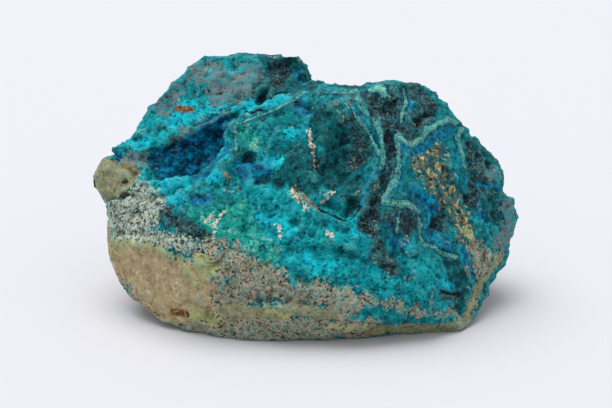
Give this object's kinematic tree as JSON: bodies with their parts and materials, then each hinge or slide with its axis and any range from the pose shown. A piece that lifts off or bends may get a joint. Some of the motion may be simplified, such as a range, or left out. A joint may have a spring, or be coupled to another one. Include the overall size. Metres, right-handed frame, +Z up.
{
  "type": "chrysocolla specimen",
  "caption": "Rough hand specimen of chrysocolla: a broken copper-ore stone with a blue-green vein face, a deep blue hollow and a pale rock foot, resting on a flat break.",
  "frame": {"origin": "under the middle of the stone, on the flat break that it rests on", "axes": "+Z up, +X along the stone's longest side, and the vein face looks along -Y"},
  "size_m": [0.102, 0.0604, 0.057],
  "materials": {
    "chrysocolla_rock": "broken stone: mottled teal, turquoise and deep blue chrysocolla with pale green veins, dark matrix and tan country rock"
  },
  "bodies": {
    "root": {"stone": "chrysocolla_rock"}
  },
  "joints": []
}
